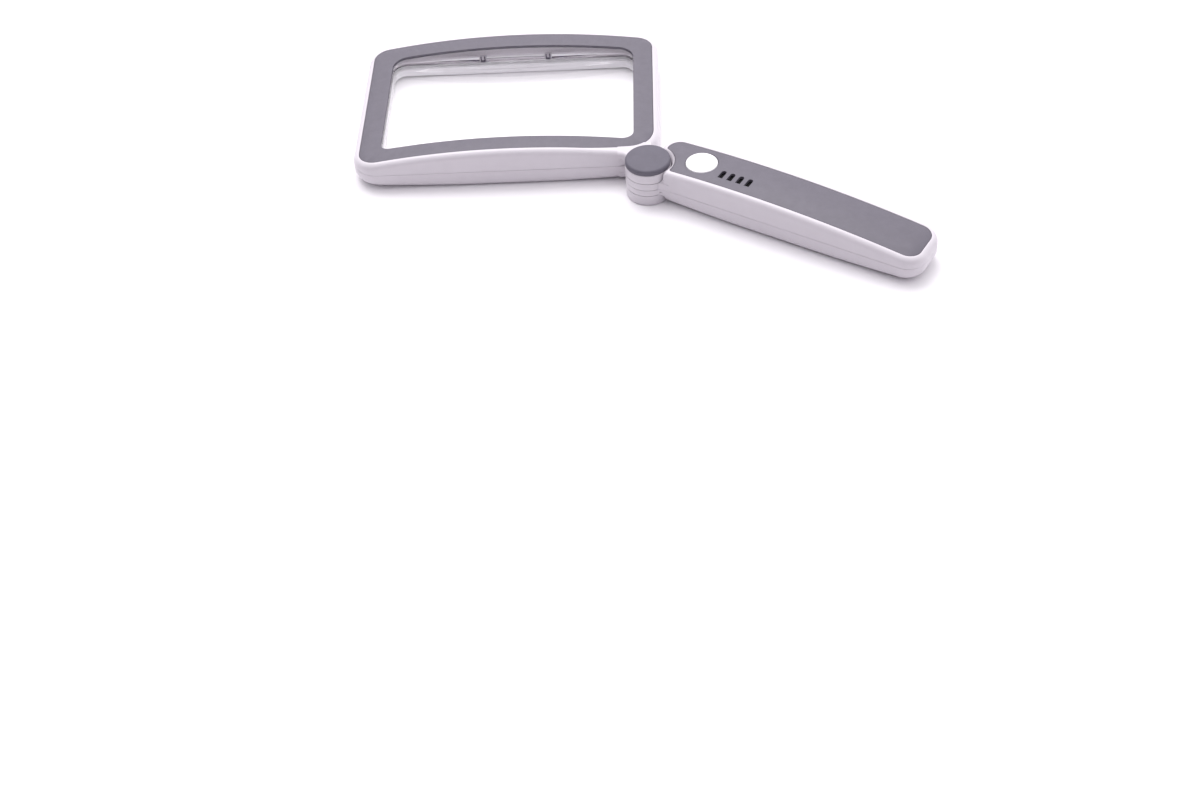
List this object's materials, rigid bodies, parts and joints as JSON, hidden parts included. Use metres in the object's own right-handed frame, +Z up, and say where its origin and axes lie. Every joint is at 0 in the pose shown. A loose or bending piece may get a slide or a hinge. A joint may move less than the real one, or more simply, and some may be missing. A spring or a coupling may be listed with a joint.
{
  "type": "magnifying glass",
  "caption": "Folding rectangular reading magnifier with a lit lens head, side hinge barrel, round power button and a swing-out battery handle.",
  "frame": {"origin": "the hinge axis, at the underside of the hinge barrel, which is the plane the magnifier lies on", "axes": "+Z up out of the lens face, +X along the head's long side towards the hinge end, +Y from the hinge across the head"},
  "size_m": [0.2323, 0.1571, 0.0172],
  "materials": {
    "white_shell": "white moulded ABS, satin",
    "grey_skin": "grey soft-touch plastic, matt",
    "white_button": "white moulded plastic, satin",
    "clear_acrylic": "clear moulded acrylic",
    "lens_acrylic": "clear polished acrylic",
    "gasket": "thin white foam",
    "board": "green solder mask",
    "led": "white LED package",
    "ribbon": "polyimide flexible cable",
    "lead": "insulated wire",
    "screw_steel": "zinc-plated steel",
    "pin_steel": "turned steel",
    "switch_body": "black plastic",
    "plunger": "red plastic",
    "smoked_window": "dark smoked acrylic",
    "cell_jacket": "plain printed sleeve",
    "contact": "nickel-plated spring steel"
  },
  "bodies": {
    "head": {"head_top_shell": "white_shell", "head_bottom_shell": "white_shell", "lens_bezel": "grey_skin", "clear_liner": "clear_acrylic", "lens": "lens_acrylic", "lens_gasket": "gasket", "led_board_far": "board", "led_board_near": "board", "leds_far": "led", "leds_near": "led", "led_ribbon": "ribbon", "head_screws": "screw_steel", "hinge_cap": "grey_skin", "hinge_pin": "pin_steel", "hinge_screw": "screw_steel", "hinge_spring_washer": "pin_steel", "hinge_washers": "pin_steel", "head_lead": "lead"},
    "handle": {"handle_top_shell": "white_shell", "handle_bottom_shell": "white_shell", "grip_panel": "grey_skin", "power_switch": "switch_body", "control_board": "board", "indicator_window": "smoked_window", "handle_lead": "lead", "battery_a": "cell_jacket", "battery_b": "cell_jacket", "battery_springs": "contact", "battery_plates": "contact", "handle_screws": "screw_steel"},
    "power_button": {"power_button": "white_button"},
    "switch_plunger": {"switch_plunger": "plunger"},
    "battery_cover": {"battery_cover": "white_shell"}
  },
  "joints": [
    {"name": "handle_fold", "type": "hinge", "parent": "head", "child": "handle", "pos_m": [0, 0, 0], "axis": [0, 0, 1], "range_deg": [-149, 10]},
    {"name": "button_press", "type": "slide", "parent": "handle", "child": "power_button", "axis": [0, 0, -1], "range_m": [0, 0.001], "stiffness_N_per_m": 1500},
    {"name": "plunger_press", "type": "slide", "parent": "handle", "child": "switch_plunger", "axis": [0, 0, -1], "range_m": [0, 0.001]},
    {"name": "cover_off", "type": "slide", "parent": "handle", "child": "battery_cover", "axis": [0, 0, -1], "range_m": [0, 0.02]}
  ],
  "couplings": [
    {"joint": "plunger_press", "follows": "button_press", "ratio": 1}
  ]
}
